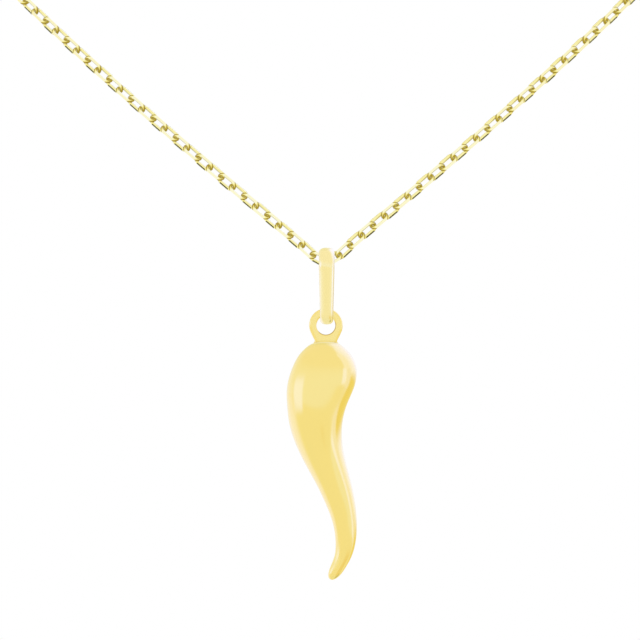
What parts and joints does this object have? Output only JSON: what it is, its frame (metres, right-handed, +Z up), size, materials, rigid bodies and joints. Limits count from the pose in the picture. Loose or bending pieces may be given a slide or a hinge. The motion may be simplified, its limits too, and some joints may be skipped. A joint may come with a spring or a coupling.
{
  "type": "horn pendant on a chain",
  "caption": "Smooth curved horn pendant with a flat eye, hung by a teardrop bail from a fine cable chain that closes behind the neck.",
  "frame": {"origin": "where the back of the closed chain rests on the nape of the neck, at the middle of the clasp", "axes": "+Z up, the pendant hangs on the -Y side in front of the wearer, +X to the right seen from the front"},
  "size_m": [0.1208, 0.1276, 0.1271],
  "materials": {
    "horn_gold": "polished pale yellow gold",
    "bail_gold": "polished pale yellow gold",
    "chain_gold": "polished gold wire with diamond-cut flats",
    "clasp_gold": "polished pale yellow gold"
  },
  "bodies": {
    "necklace": {"chain": "chain_gold", "clasp": "clasp_gold"},
    "bail": {"bail": "bail_gold"},
    "horn": {"horn": "horn_gold"}
  },
  "joints": [
    {"name": "bail_swing", "type": "hinge", "parent": "necklace", "child": "bail", "pos_m": [0, -0.1235, -0.099], "axis": [1, 0, 0], "range_deg": [-90, 90]},
    {"name": "horn_swing", "type": "hinge", "parent": "bail", "child": "horn", "pos_m": [0, -0.1235, -0.10327], "axis": [1, 0, 0], "range_deg": [-120, 120]}
  ]
}
